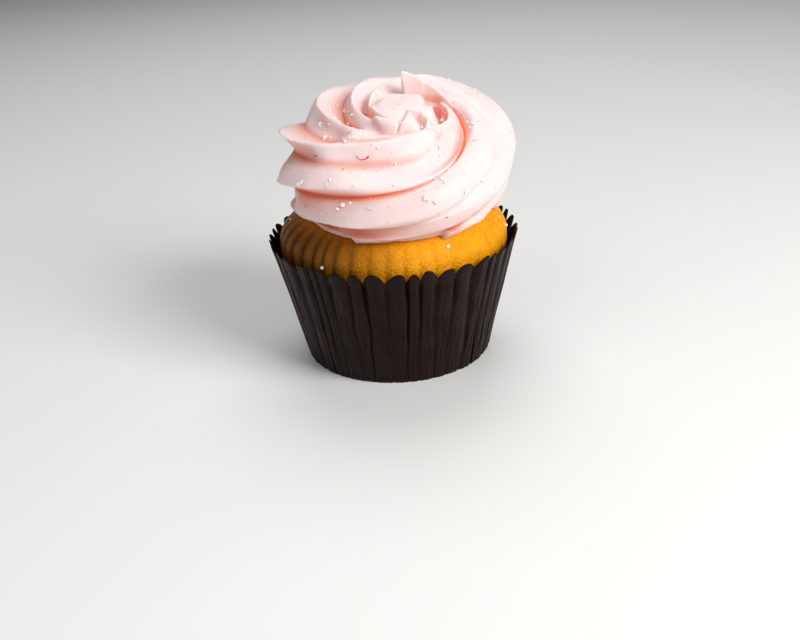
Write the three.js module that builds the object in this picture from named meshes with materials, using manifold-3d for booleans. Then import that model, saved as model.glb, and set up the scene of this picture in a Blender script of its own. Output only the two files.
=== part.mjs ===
// A cupcake in a pleated paper case, topped with one piped swirl of pink buttercream.
// Lengths are millimetres, angles are degrees, +Z is up and +Y points to the back.
// The origin is the middle of the case's flat base.

import * as THREE from 'three';
import { mergeVertices } from 'three/addons/utils/BufferGeometryUtils.js';
import Module from 'manifold-3d';

// ---------------------------------------------------------------- driving dimensions

const RIM_RADIUS = 35;            // a standard muffin case is 70 mm across its rim
const CASE_HEIGHT = 35.5;
const BASE_RADIUS = 26.7;
const PAPER = 0.35;               // thickness of the case's wall and floor
const PLEATS = 44;
const PLEAT_DEPTH_BASE = 0.25;
const PLEAT_DEPTH_GAIN = 1.15;    // how much deeper a pleat is at the rim than at the base
const NOTCH_DEPTH = 2.6;          // how far the rim dips between two pleats
const GAP = 0.3;                  // clearance between pieces that touch

const SPONGE_RADIUS = 31.85;      // the baked sponge has shrunk away from the paper
const SPONGE_EDGE_HEIGHT = 34.57;
const DOME_RISE = 12;
const SPONGE_PLEAT_MARK = 0.35;   // depth of the marks that the case leaves in the sponge

const RIDGES = 6;                 // the piping tip has six teeth, so the rope has six ridges
const TURN_STEP = 45;             // turn between two entries of the next four lists
const CREST_RADII = [29.6, 29.6, 32.8, 30.5, 21.3, 14.6, 10.9, 8.8, 7.4, 5.2, 1.5];
const CREST_HEIGHTS = [43.3, 46.7, 56.2, 64.2, 68.8, 69.4, 69.3, 69.2, 69.3, 69.5, 69.8];
const GROOVE_SHARES = [0.55, 0.95, 1, 1, 0.9, 0.85, 0.75, 0.12, 0, 0, 0];
const GROOVE_TILTS = [0, 0, 5, 15, 40, 65, 80, 88, 90, 90, 90];
// The lists of six have one number for each ridge.
const RIDGE_LAGS = [-7.9, 3.9, -2.8, -2.3, 0.4, 11.2];
const LOW_LIFTS = [-3.5, 0, -0.5, 1.3, 0.2, 1.5];
const LOW_LIFT_TURN = 110;
const LOW_LIFT_WIDTH = 38;
const HIGH_LIFTS = [-0.5, -6.5, -1.5, -1.1, 0.5, 1.5];
const HIGH_LIFT_TURN = 190;
const HIGH_LIFT_WIDTH = 45;
const EYE_LIFTS = [0, 0, 0.2, -1.4, 0.2, 0.6];
const EYE_LIFT_TURN = 255;
const EYE_LIFT_WIDTH = 30;
const LEFT_GROOVES = [0.93, 0.66, 0.22, 0.3, 0.5, 0.62];    // where each groove lies between ridges
const OTHER_GROOVES = [0.42, 0.5, 0.45, 0.5, 0.6, 0.6];
// Azimuths or turns between which something starts, and then between which it ends
const LEFT_STARTS = [90, 150];
const LEFT_ENDS = [245, 325];
const FRONT_STARTS = [203, 225];
const FRONT_ENDS = [335, 359];
const RIGHT_STARTS = [285, 315];
const RIGHT_ENDS = [70, 100];
const SLIT_STARTS = [295, 325];
const SLIT_ENDS = [85, 115];
const SIDE_FADE_TURNS = [100, 160];
const EYE_FADE_TURNS = [190, 250];
const SLIT_END_TURNS = [225, 250];
const SLIT_TILT_TURNS = [120, 170];
const EYE_RELIEF_TURNS = [250, 275];
const INWARD_TURNS = [60, 355];
const LEAN_TURN = 90;
const FRONT_FADES = [0.3, 0.85, 0.85, 0.85, 0.2, 0];        // how much of each groove fades there
const RIGHT_FADES = [0.9, 0.6, 0, 0, 0, 0];
const EYE_FADES = [0, 0, 0.85, 0.7, 0, 0];
const SLITS = [2.6, 1.1, 0.4, 0.4, 0.4, 0.3];               // extra depth of the narrow grooves
const SLIT_WIDTH = 0.11;
const SLIT_TILT = 78;
const SLIT_REST = 0.25;           // the share of a slit that is left away from the right side
const FIRST_RIDGE_ANGLE = 169.6;
const SWIRL_FOOT = [1.13, -0.73];
const SWIRL_EYE = [6.03, -2.52];
const SWIRL_LEAN = [-0.03, 0.21];
// Outlines in the eye, seen from above, as pairs of X and Y
const EYE_MOUND = [[-4.3, -3.3], [-4, 1], [-2.4, 3.6], [0.1, 5.4], [2.8, 5.9], [5.6, 6], [8, 5.6],
  [9.6, 4.8], [10.1, 2.6], [10.4, -0.2], [12.5, -0.6], [12.7, -4.2], [12.1, -8.3], [11, -12],
  [9.5, -15.2], [6.8, -17.2], [3.5, -17.6], [0.6, -16], [-1.8, -12.4], [-3.6, -8.2]];
const EYE_CRESCENT = [[12.7, 3.4], [15.2, 1], [16.2, -2.5], [16.2, -7], [14.6, -12], [12.4, -14],
  [13.3, -8], [13.3, -3]];
const FOOT_TUCK = 1.8;            // how far the swirl's foot is drawn in at each ridge's blunt end
const FOOT_LOBE_TUCK = 2.3;       // and how much farther at the end of the lobe behind it
const FOOT_LOBE_TURNS = [20, 60];
const FOOT_END_SHIFT = 0.11;
const FOOT_END_EDGE = 0.95;
const FOOT_DROP = 2.2;            // and how far it drops towards the sponge
const FOOT_TURN = 18;
const GROOVE_DEPTH = 1.3;
const GROOVE_DEPTH_GAIN = 4.2;    // extra depth on the swirl's left side
const GROOVE_SHARPNESS = 0.25;
const GROOVE_SHARPNESS_GAIN = 0.6;
const DEEPEST_AZIMUTH = 170;
const MOUND_HEIGHT = 1.5;
const MOUND_EDGE = [-0.5, 0.7];
const CRESCENT_DEPTH = 2.4;
const CRESCENT_EDGE = [-0.8, 0.8];
const PEAK_RISE = 7.6;            // the point that the tip pulled up as it left the swirl
const PEAK_START = 230;
const PEAK_TURN = 298;
const PEAK_CLIFF = 93;            // azimuth at which the point breaks off
const PEAK_CLIFF_EDGE = 6;
const PEAK_LEAN = 0.24;
const PEAK_END = 345;
const PEAK_END_EDGE = 20;
const PEAK_HALF_WIDTH = 0.56;
const PEAK_SLOPE = 0.42;
const FROSTING_CONTACT_RADIUS = 25;

const CRYSTAL_SIZE = 1.1;
const CRYSTAL_STEPS = [0.7548776662, 0.5698402910, 0.6180339887];   // shares that never fall in line
const FROSTING_CRYSTALS = 33;
const SPONGE_CRYSTALS = 6;
const SPONGE_CRYSTAL_RADIUS = 30.3;
const FIRST_SPONGE_CRYSTAL = 0.31;

const PINK = 0xf3c9c5;
const GOLD = 0xd98a1c;
const BROWN = 0x2a1d1b;

// ------------------------------------------------------------------------ small tools

const radians = THREE.MathUtils.degToRad;
const clamp = THREE.MathUtils.clamp;
const smoothstep = THREE.MathUtils.smoothstep;

// A smooth value between four neighbours in a list, for a share of 0 to 1 past the second.
function blendFour(a, b, c, d, share) {
  const cubic = 3 * (b - c) + d - a;
  const square = 2 * a - 5 * b + 4 * c - d;
  return b + 0.5 * share * (c - a + share * (square + share * cubic));
}

// The value at a place along an open list.
function alongList(list, place) {
  const last = list.length - 1;
  const x = clamp(place, 0, last);
  const i = Math.min(Math.floor(x), last - 1);
  const before = list[Math.max(i - 1, 0)];
  const after = list[Math.min(i + 2, last)];
  return blendFour(before, list[i], list[i + 1], after, x - i);
}

// The value at a place on a list that closes on itself.
function aroundList(list, place) {
  const i = Math.floor(place);
  const entry = (k) => list[(((i + k) % list.length) + list.length) % list.length];
  return blendFour(entry(-1), entry(0), entry(1), entry(2), place - i);
}

// A sphere of columns and rows whose every vertex is moved to where place() says.
// Column 0 to `columns` runs anticlockwise seen from above, and row 0 is the upper pole.
function wrappedSphere(columns, rows, place) {
  const geometry = new THREE.SphereGeometry(1, columns, rows);
  const uv = geometry.attributes.uv;
  const position = geometry.attributes.position;
  for (let i = 0; i < position.count; i++) {
    const row = Math.round((1 - uv.getY(i)) * rows);
    const column = Math.floor(uv.getX(i) * columns + 0.01) % columns;
    const point = place(column, row);
    position.setXYZ(i, point.x, point.y, point.z);
  }
  geometry.deleteAttribute('normal');
  geometry.deleteAttribute('uv');
  const merged = mergeVertices(geometry, 1e-4);
  merged.computeVertexNormals();
  return merged;
}

function fraction(value) {
  return value - Math.floor(value);
}

function polar(radius, angle, height) {
  return new THREE.Vector3(radius * Math.cos(angle), radius * Math.sin(angle), height);
}

// ------------------------------------------------------------------------- paper case

// The azimuth of a place counted in pleats. Pleats vary in width, but one stays
// on each of the X and Y axes, so that the rim measures the same both ways.
function pleatAngle(pleat) {
  const even = (2 * Math.PI * pleat) / PLEATS;
  const wander = 0.035 * Math.cos(5 * even) + 0.012 * Math.cos(11 * even + 1);
  return even + Math.sin(2 * even) * wander;
}

// How far a place lies between a pleat's crest, 0, and its fold, 1.
function foldShare(pleat) {
  return 1 - Math.abs(Math.cos(Math.PI * pleat));
}

// A point of the case's wall: level runs from 0 at the base to 1 at the rim.
function casePoint(pleat, level, inset) {
  const fold = foldShare(pleat);
  const depth = PLEAT_DEPTH_BASE + PLEAT_DEPTH_GAIN * level ** 1.2;
  const radius = BASE_RADIUS + (RIM_RADIUS - BASE_RADIUS) * level - depth * fold - inset;
  const notch = NOTCH_DEPTH * smoothstep(level, 0.8, 1) * fold ** 1.3;
  return polar(radius, pleatAngle(pleat), CASE_HEIGHT * level - notch);
}

function paperCaseGeometry() {
  const columnsPerPleat = 4;
  const levels = [0, 0.45, 0.8, 1];
  const rings = levels.length;
  const lastRow = 2 * rings + 1;
  return wrappedSphere(PLEATS * columnsPerPleat, lastRow, (column, row) => {
    const pleat = column / columnsPerPleat;
    if (row === 0) {
      return new THREE.Vector3(0, 0, PAPER);
    }
    if (row === lastRow) {
      return new THREE.Vector3(0, 0, 0);
    }
    if (row > rings) {
      return casePoint(pleat, levels[lastRow - 1 - row], 0);
    }
    const inside = casePoint(pleat, levels[row - 1], PAPER);
    inside.z = Math.max(inside.z, PAPER);
    return inside;
  });
}

// ----------------------------------------------------------------------------- sponge

function domeHeight(radius) {
  const share = Math.min(radius / SPONGE_RADIUS, 1);
  return SPONGE_EDGE_HEIGHT + DOME_RISE * Math.sqrt(1 - share * share);
}

function spongeGeometry() {
  const columnsPerPleat = 2;
  const domeRadii = [8, 15, 20.5, 25, 28.2, 30.5, 31.6];
  const sideLevel = 0.8;
  const touchLevel = 0.45;
  const bottom = PAPER + GAP;
  const lastRow = domeRadii.length + 5;
  return wrappedSphere(PLEATS * columnsPerPleat, lastRow, (column, row) => {
    const pleat = column / columnsPerPleat;
    const fold = foldShare(pleat);
    const angle = pleatAngle(pleat);
    if (row === 0) {
      return new THREE.Vector3(0, 0, domeHeight(0));
    }
    if (row <= domeRadii.length) {
      const radius = domeRadii[row - 1];
      const mark = SPONGE_PLEAT_MARK * fold * smoothstep(radius, 25, SPONGE_RADIUS);
      return polar(radius - mark, angle, domeHeight(radius));
    }
    const step = row - domeRadii.length;
    if (step === 1) {
      return polar(SPONGE_RADIUS - SPONGE_PLEAT_MARK * fold, angle, SPONGE_EDGE_HEIGHT);
    }
    if (step === 2) {
      return polar(SPONGE_RADIUS - 2 * SPONGE_PLEAT_MARK * fold, angle, CASE_HEIGHT * sideLevel);
    }
    if (step === 3) {
      return casePoint(pleat, touchLevel, PAPER + GAP);
    }
    if (step === 4) {
      const foot = casePoint(pleat, bottom / CASE_HEIGHT, PAPER + GAP);
      foot.z = bottom;
      return foot;
    }
    return new THREE.Vector3(0, 0, bottom);
  });
}

// --------------------------------------------------------------------- frosting swirl

// An azimuth in degrees as one from 0 to 360.
function wholeTurn(azimuth) {
  return ((azimuth % 360) + 360) % 360;
}

// 1 on the swirl's left side, falling to 0 along its front and back.
function leftShare(direction) {
  const azimuth = wholeTurn(direction);
  return (1 - smoothstep(azimuth, ...LEFT_ENDS)) * smoothstep(azimuth, ...LEFT_STARTS);
}

// 1 on the swirl's right side between two spans of azimuth, falling to 0 across them.
function rightShare(azimuth, starts, ends) {
  return Math.max(smoothstep(azimuth, ...starts), 1 - smoothstep(azimuth, ...ends));
}

// Where a column lies between crests at a turn. Half of a ridge's columns climb its
// tread to the groove, and half climb the riser beyond it. `place` counts in ridges
// and is whole at a crest; `share` is 0 at a crest and 1 in a groove; `fromGroove` is how
// far off the groove is, in ridges.
function columnPlace(column, columnsPerRidge, turn) {
  const ridge = Math.floor(column / columnsPerRidge);
  const azimuth = FIRST_RIDGE_ANGLE - (360 / RIDGES) * ridge + RIDGE_LAGS[ridge] + turn;
  const left = leftShare(azimuth);
  const groove = LEFT_GROOVES[ridge] * left + OTHER_GROOVES[ridge] * (1 - left);
  const half = (column % columnsPerRidge) / (columnsPerRidge / 2);
  if (half < 1) {
    const fromGroove = (1 - half) * groove;
    return { ridge, place: ridge + groove * half, share: half, fromGroove };
  }
  const place = ridge + groove + (1 - groove) * (half - 1);
  return { ridge, place, share: 2 - half, fromGroove: (half - 1) * (1 - groove) };
}

// How deep a place is between its crest and its groove, from 0 to 1. Ridges are sharp
// with round grooves at sharpness 1, and round with sharp grooves at 0.
function grooveShare(share, sharpness) {
  const sharp = Math.sin((Math.PI * share) / 2);
  const round = 1 - Math.cos((Math.PI * share) / 2);
  return sharpness * sharp + (1 - sharpness) * round;
}

// How far the last pulled point stands above the first ridge at a turn.
function peakRise(place, angle, turn) {
  const fromRidge = Math.min(place, RIDGES - place);
  const climb = clamp((turn - PEAK_START) / (PEAK_TURN - PEAK_START), 0, 1) ** 0.75;
  const azimuth = wholeTurn(THREE.MathUtils.radToDeg(angle) + 180) - 180;
  const cliff = clamp((PEAK_CLIFF - azimuth) / PEAK_CLIFF_EDGE, 0, 1);
  const fall = cliff * clamp((PEAK_END - turn) / PEAK_END_EDGE, 0, 1);
  return PEAK_RISE * climb * fall * smoothstep(PEAK_HALF_WIDTH - fromRidge, 0, PEAK_SLOPE);
}

// How far a place lies inside a closed outline, or outside it if negative.
function insideDistance(x, y, outline) {
  let nearest = Infinity;
  let inside = false;
  outline.forEach(([ax, ay], i) => {
    const [bx, by] = outline[(i + 1) % outline.length];
    const along = ((x - ax) * (bx - ax) + (y - ay) * (by - ay)) / ((bx - ax) ** 2 + (by - ay) ** 2);
    const share = clamp(along, 0, 1);
    const distance = Math.hypot(x - ax - share * (bx - ax), y - ay - share * (by - ay));
    nearest = Math.min(nearest, distance);
    if ((ay > y) !== (by > y) && x < ax + ((y - ay) * (bx - ax)) / (by - ay)) {
      inside = !inside;
    }
  });
  return inside ? nearest : -nearest;
}

// The height of the eye's mound, and of the hollow beside it, over the smooth top.
function eyeRelief(x, y) {
  const mound = smoothstep(insideDistance(x, y, EYE_MOUND), ...MOUND_EDGE);
  const crescent = smoothstep(insideDistance(x, y, EYE_CRESCENT), ...CRESCENT_EDGE);
  return MOUND_HEIGHT * mound - CRESCENT_DEPTH * crescent;
}

// How far the swirl's foot is drawn in between the blunt ends of its lobes.
function footLobeTuck(place, turn) {
  const upright = place - (turn * RIDGES) / 360 + FOOT_END_SHIFT;
  const pastEnd = Math.ceil(upright) - upright;
  const edge = 1 - smoothstep(pastEnd, FOOT_END_EDGE, 1);
  return FOOT_LOBE_TUCK * pastEnd ** 1.4 * edge * (1 - smoothstep(turn, ...FOOT_LOBE_TURNS));
}

function bell(turn, middle, width) {
  return Math.exp(-(((turn - middle) / width) ** 2));
}

// A point of the swirl. A ridge runs along a fixed place as the turn grows from 0 at
// the swirl's foot to a full turn and a little more at its eye.
function swirlPoint({ ridge, place, share, fromGroove }, turn) {
  const step = turn / TURN_STEP;
  const lag = aroundList(RIDGE_LAGS, place);
  const angle = radians(FIRST_RIDGE_ANGLE - (360 / RIDGES) * place + lag + turn);
  const inward = smoothstep(turn, ...INWARD_TURNS);
  const middle = SWIRL_FOOT.map((start, i) => start + (SWIRL_EYE[i] - start) * inward);
  const foot = 1 - smoothstep(turn, 0, FOOT_TURN);
  const radius = alongList(CREST_RADII, step) - FOOT_TUCK * foot - footLobeTuck(place, turn);
  const peak = peakRise(place, angle, turn);
  const y = middle[1] + radius * Math.sin(angle);
  const uprightX = middle[0] + radius * Math.cos(angle);
  const lean = (SWIRL_LEAN[0] * uprightX + SWIRL_LEAN[1] * y) * clamp(turn / LEAN_TURN, 0, 1);
  const x = uprightX - PEAK_LEAN * peak;
  const lowLift = aroundList(LOW_LIFTS, place) * bell(turn, LOW_LIFT_TURN, LOW_LIFT_WIDTH);
  const highLift = aroundList(HIGH_LIFTS, place) * bell(turn, HIGH_LIFT_TURN, HIGH_LIFT_WIDTH);
  const eyeLift = aroundList(EYE_LIFTS, place) * bell(turn, EYE_LIFT_TURN, EYE_LIFT_WIDTH);
  const z = alongList(CREST_HEIGHTS, step) + lean + lowLift + highLift + eyeLift + peak
    - FOOT_DROP * foot;
  const leftness = (0.5 + 0.5 * Math.cos(angle - radians(DEEPEST_AZIMUTH))) ** 1.8;
  const azimuth = wholeTurn(THREE.MathUtils.radToDeg(angle));
  const front = smoothstep(azimuth, ...FRONT_STARTS) * (1 - smoothstep(azimuth, ...FRONT_ENDS));
  const right = rightShare(azimuth, RIGHT_STARTS, RIGHT_ENDS);
  const fade = Math.max(front * FRONT_FADES[ridge], right * RIGHT_FADES[ridge]);
  const open = 1 - fade * smoothstep(turn, ...SIDE_FADE_TURNS);
  const late = 1 - EYE_FADES[ridge] * smoothstep(turn, ...EYE_FADE_TURNS);
  const full = (GROOVE_DEPTH + GROOVE_DEPTH_GAIN * leftness) * open * late;
  const narrow = clamp(1 - fromGroove / SLIT_WIDTH, 0, 1) * (1 - smoothstep(turn, ...SLIT_END_TURNS));
  const slitShare = SLIT_REST + (1 - SLIT_REST) * rightShare(azimuth, SLIT_STARTS, SLIT_ENDS);
  const slit = SLITS[ridge] * (1 - leftness) * narrow * slitShare;
  const strength = alongList(GROOVE_SHARES, step);
  const sharpness = GROOVE_SHARPNESS + GROOVE_SHARPNESS_GAIN * leftness;
  const depth = strength * full * grooveShare(share, sharpness);
  const tilt = radians(alongList(GROOVE_TILTS, step));
  const slitTilt = Math.max(tilt, radians(SLIT_TILT) * smoothstep(turn, ...SLIT_TILT_TURNS));
  const level = depth * Math.cos(tilt) + strength * slit * Math.cos(slitTilt);
  const point = new THREE.Vector3(
    x - level * Math.cos(angle),
    y - level * Math.sin(angle),
    z - depth * Math.sin(tilt) - strength * slit * Math.sin(slitTilt),
  );
  point.z += eyeRelief(point.x, point.y) * smoothstep(turn, ...EYE_RELIEF_TURNS);
  point.z = Math.max(point.z, domeHeight(Math.hypot(point.x, point.y)) + GAP);
  return point;
}

function frostingGeometry() {
  const columnsPerRidge = 12;
  const columns = RIDGES * columnsPerRidge;
  const swirlRings = 48;
  const lastTurn = TURN_STEP * (CREST_RADII.length - 1);
  const underRadii = [FROSTING_CONTACT_RADIUS, 20, 13.5, 7];
  const lastRow = swirlRings + underRadii.length + 1;
  return wrappedSphere(columns, lastRow, (column, row) => {
    if (row === 0) {
      const ends = [...Array(RIDGES).keys()].map((ridge) => crestPoint(ridge, lastTurn));
      const sum = ends.reduce((total, point) => total.add(point), new THREE.Vector3());
      return sum.divideScalar(RIDGES);
    }
    if (row === lastRow) {
      return new THREE.Vector3(0, 0, domeHeight(0) + GAP);
    }
    const turn = (lastTurn * Math.max(swirlRings - row, 0)) / (swirlRings - 1);
    const spot = columnPlace((columns - column) % columns, columnsPerRidge, turn);
    const point = swirlPoint(spot, turn);
    if (row <= swirlRings) {
      return point;
    }
    const radius = underRadii[row - swirlRings - 1];
    return polar(radius, Math.atan2(point.y, point.x), domeHeight(radius) + GAP);
  });
}

function crestPoint(ridge, turn) {
  return swirlPoint({ ridge, place: ridge, share: 0, fromGroove: 1 }, turn);
}

// ----------------------------------------------------------------------------- sugar

const wasm = await Module();
wasm.setup();

function toSolid(geometry) {
  const vertProperties = new Float32Array(geometry.attributes.position.array);
  const triVerts = new Uint32Array(geometry.index.array);
  return new wasm.Manifold(new wasm.Mesh({ numProp: 3, vertProperties, triVerts }));
}

function toGeometry(solid) {
  const mesh = solid.getMesh();
  const geometry = new THREE.BufferGeometry();
  geometry.setAttribute('position', new THREE.BufferAttribute(mesh.vertProperties, 3));
  geometry.setIndex(new THREE.BufferAttribute(mesh.triVerts, 1));
  geometry.computeVertexNormals();
  return geometry;
}

// A cube of sugar, turned a different way for each number.
function crystalGeometry(centre, number) {
  const draws = CRYSTAL_STEPS.map((step) => fraction(number * step));
  const size = CRYSTAL_SIZE * (0.8 + 0.4 * draws[0]);
  const box = new THREE.BoxGeometry(size, size, size * 1.2);
  box.deleteAttribute('normal');
  box.deleteAttribute('uv');
  const crystal = mergeVertices(box);
  crystal.rotateX(2 * Math.PI * draws[1]);
  crystal.rotateY(2 * Math.PI * draws[2]);
  crystal.translate(centre.x, centre.y, centre.z);
  return crystal;
}

function withCrystals(geometry, centres) {
  let solid = toSolid(geometry);
  centres.forEach((centre, i) => {
    solid = solid.add(toSolid(crystalGeometry(centre, i + 1)));
  });
  return toGeometry(solid);
}

// Crystals are spread over the swirl by two steps that never fall into line.
function frostingCrystalCentres() {
  const lowestTurn = 60;
  const turnRange = 230;
  const columns = 120;
  return Array.from({ length: FROSTING_CRYSTALS }, (_, i) => {
    const column = Math.floor(columns * fraction((i + 1) * CRYSTAL_STEPS[0]));
    const turn = lowestTurn + turnRange * fraction((i + 1) * CRYSTAL_STEPS[1]);
    return swirlPoint(columnPlace(column, columns / RIDGES, turn), turn);
  });
}

function spongeCrystalCentres() {
  return Array.from({ length: SPONGE_CRYSTALS }, (_, i) => {
    const angle = 2 * Math.PI * fraction(FIRST_SPONGE_CRYSTAL + (i + 1) * CRYSTAL_STEPS[2]);
    return polar(SPONGE_CRYSTAL_RADIUS, angle, domeHeight(SPONGE_CRYSTAL_RADIUS));
  });
}

// --------------------------------------------------------------------------- assembly

function piece(name, geometry, color, roughness) {
  const material = new THREE.MeshStandardMaterial({ color, roughness, metalness: 0 });
  const mesh = new THREE.Mesh(geometry, material);
  mesh.name = name;
  return mesh;
}

const cupcake = new THREE.Group();
cupcake.add(piece('paper_case', paperCaseGeometry(), BROWN, 0.55));
cupcake.add(piece('sponge', withCrystals(spongeGeometry(), spongeCrystalCentres()), GOLD, 0.6));
cupcake.add(piece('frosting', withCrystals(frostingGeometry(), frostingCrystalCentres()), PINK, 0.5));

export default cupcake;
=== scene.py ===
import math

import bpy
import numpy as np
from mathutils import Matrix, Vector
from mathutils.bvhtree import BVHTree


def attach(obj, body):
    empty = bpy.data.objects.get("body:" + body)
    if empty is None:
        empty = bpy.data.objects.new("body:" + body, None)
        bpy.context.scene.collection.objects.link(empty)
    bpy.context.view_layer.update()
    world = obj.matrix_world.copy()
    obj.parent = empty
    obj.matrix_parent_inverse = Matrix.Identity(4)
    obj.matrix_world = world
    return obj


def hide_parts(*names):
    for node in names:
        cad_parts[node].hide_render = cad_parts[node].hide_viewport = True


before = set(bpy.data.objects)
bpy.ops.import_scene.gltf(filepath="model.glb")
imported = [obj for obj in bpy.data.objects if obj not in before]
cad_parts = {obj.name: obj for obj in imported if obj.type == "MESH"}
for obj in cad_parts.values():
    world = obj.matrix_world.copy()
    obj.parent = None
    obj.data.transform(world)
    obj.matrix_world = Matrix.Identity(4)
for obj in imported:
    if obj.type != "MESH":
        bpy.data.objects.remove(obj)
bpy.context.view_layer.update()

MM = 0.001

# ------------------------------------------------------------------ sizes, in millimetres

RIM_RADIUS = 35.0
CASE_HEIGHT = 35.5
BASE_RADIUS = 26.7
PAPER = 0.22
PLEATS = 44
PLEAT_SEED = 11
PLEAT_DEPTH_BASE = 0.25
PLEAT_DEPTH_GAIN = 1.15
NOTCH_DEPTH = 2.6
GAP = 0.3

# The case after handling: narrower and deeper folds, with three creases between them. A crease
# is given as its place across a pleat and how far down from the rim it starts to open.
HANDLED_DEPTH_BASE = 0.5
HANDLED_DEPTH_GAIN = 1.3
HANDLED_NOTCH_DEPTH = 1.2 * NOTCH_DEPTH
HANDLED_RIM_DROP = 0.3
HANDLED_INSET = 0.1
FOLD_START = 0.12
CREASES = [(-0.2, 0.05), (0.02, 0.22), (0.24, 0.1)]
CREASE_WIDTH = 0.045

SPONGE_RADIUS = 31.85
SPONGE_EDGE_HEIGHT = 34.57
DOME_RISE = 12.0
SPONGE_PLEAT_MARK = 0.35
BAKED_PLEAT_MARK = 1.4 * SPONGE_PLEAT_MARK
SPONGE_INSET = PAPER + 6 * GAP
SPONGE_LUMP_RADII = (21, 26)
# Where the sponge's left side is painted in shade: between these radii, darkest at this azimuth.
PAINTED_SHADE_RADII = (18, 30)
DARKEST_SHADE_AZIMUTH = 195

# Lumps are given as their size, their seed and their height.
SPONGE_LUMPS = [(9, 3, 0.3), (2.5, 4, 0.12)]
FROSTING_LUMPS = [(6, 1, 0.25), (2.2, 2, 0.07)]
EDGE_LUMPS = (1.3, 5, 0.16)
TORN_LUMPS = (1.8, 6, 0.55)

# The swirl is a rope of six ridges. The long lists run along a ridge in steps of turn, from the
# swirl's foot to its eye, and the lists of six have one number for each ridge. Turns, lags and
# tilts are in degrees, and a groove's place and width are shares of the way between two ridges.
RIDGES = 6
TURN_STEP = 45.0
CREST_RADII = [29.6, 29.6, 32.8, 30.5, 21.3, 14.6, 10.9, 8.8, 7.4, 5.2, 1.5]
CREST_HEIGHTS = [43.3, 46.7, 56.2, 64.2, 68.8, 69.4, 69.3, 69.2, 69.3, 69.5, 69.8]
GROOVE_SHARES = [0.55, 0.95, 1, 1, 0.9, 0.85, 0.75, 0.12, 0, 0, 0]
GROOVE_TILTS = [0, 0, 5, 15, 40, 65, 80, 88, 90, 90, 90]
RIDGE_LAGS = [-7.9, 3.9, -2.8, -2.3, 0.4, 11.2]
LOW_LIFTS = [-3.5, 0.0, -0.5, 1.3, 0.2, 1.5]
LOW_LIFT_TURN = 110
LOW_LIFT_WIDTH = 38
HIGH_LIFTS = [-0.5, -6.5, -1.5, -1.1, 0.5, 1.5]
HIGH_LIFT_TURN = 190
HIGH_LIFT_WIDTH = 45
EYE_LIFTS = [0, 0, 0.2, -1.4, 0.2, 0.6]
EYE_LIFT_TURN = 255
EYE_LIFT_WIDTH = 30
LEFT_GROOVES = [0.93, 0.66, 0.22, 0.3, 0.5, 0.62]
OTHER_GROOVES = [0.42, 0.5, 0.45, 0.5, 0.6, 0.6]
FRONT_FADES = [0.3, 0.85, 0.85, 0.85, 0.2, 0]
RIGHT_FADES = [0.9, 0.6, 0, 0, 0, 0]
DEPTH_SHARES = [0.8, 1, 1, 1, 1, 1]
LATE_DEPTHS = [1, 1, 0.15, 0.3, 1, 1]
SLITS = [2.6, 1.1, 0.4, 0.4, 0.4, 0.3]
# How strongly each ridge's narrow slit is painted to glow.
PAINTED_SLIT_GLOWS = [1.5, 0.5, 0, 0, 0, 0]
SLIT_WIDTH = 0.11
SLIT_TILT = 78
SLIT_REST = 0.25
FIRST_RIDGE_ANGLE = 169.6
SWIRL_FOOT = (1.13, -0.73)
SWIRL_EYE = (6.03, -2.52)
SWIRL_LEAN = (-0.03, 0.21)
SWIRL_MIDDLE = np.array([SWIRL_EYE[0] * 0.6, SWIRL_EYE[1] * 0.6, 50])

# Each side of the swirl starts across the first span of azimuth and ends across the second.
LEFT_STARTS = (90, 150)
LEFT_ENDS = (245, 325)
FRONT_STARTS = (203, 225)
FRONT_ENDS = (335, 359)
RIGHT_STARTS = (285, 315)
RIGHT_ENDS = (70, 100)
SLIT_STARTS = (295, 325)
SLIT_ENDS = (85, 115)

# Spans of turn across which something comes or goes along a ridge
INWARD_TURNS = (60, 355)
SIDE_FADE_TURNS = (100, 160)
EYE_FADE_TURNS = (190, 250)
SLIT_TILT_TURNS = (120, 170)
SLIT_END_TURNS = (225, 250)
EYE_RELIEF_TURNS = (250, 275)
FOOT_LOBE_TURNS = (20, 60)
EDGE_START_TURNS = (20, 60)
EDGE_END_TURNS = (220, 260)
PAINTED_SHADE_START_TURNS = (40, 90)
UPPER_START_TURNS = (115, 150)
UPPER_END_TURNS = (215, 235)
LEAN_TURN = 90

# Outlines in the eye, seen from above
EYE_MOUND = [(-4.3, -3.3), (-4.0, 1.0), (-2.4, 3.6), (0.1, 5.4), (2.8, 5.9), (5.6, 6.0), (8.0, 5.6),
             (9.6, 4.8), (10.1, 2.6), (10.4, -0.2), (12.5, -0.6), (12.7, -4.2), (12.1, -8.3),
             (11.0, -12.0), (9.5, -15.2), (6.8, -17.2), (3.5, -17.6), (0.6, -16.0), (-1.8, -12.4),
             (-3.6, -8.2)]
EYE_STEP = [(10.3, 8.0), (10.3, -0.2), (9.2, -3.6), (14.5, -6.0), (14.5, 8.0)]
EYE_HOLLOW = [(5.6, -5.9), (8.7, -6.6), (10.6, -9.6), (10.2, -13.9), (8.0, -17.5)]
EYE_CRESCENT = [(12.7, 3.4), (15.2, 1.0), (16.2, -2.5), (16.2, -7.0), (14.6, -12.0), (12.4, -14.0),
                (13.3, -8.0), (13.3, -3.0)]
EYE_CREASE = [(5.1, -6.2), (2.8, -12.4), (0.9, -16.6), (2.8, -12.4)]
MOUND_HEIGHT = 1.5
MOUND_EDGE = (-0.5, 0.7)
STEP_DEPTH = 1.1
STEP_EDGE = (-0.35, 0.35)
HOLLOW_DEPTH = 1.9
HOLLOW_EDGE = (-0.3, 2.0)
CRESCENT_DEPTH = 2.4
CRESCENT_EDGE = (-0.8, 0.8)
EYE_CREASE_DEPTH = 0.9
EYE_CREASE_WIDTH = 0.45

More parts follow.
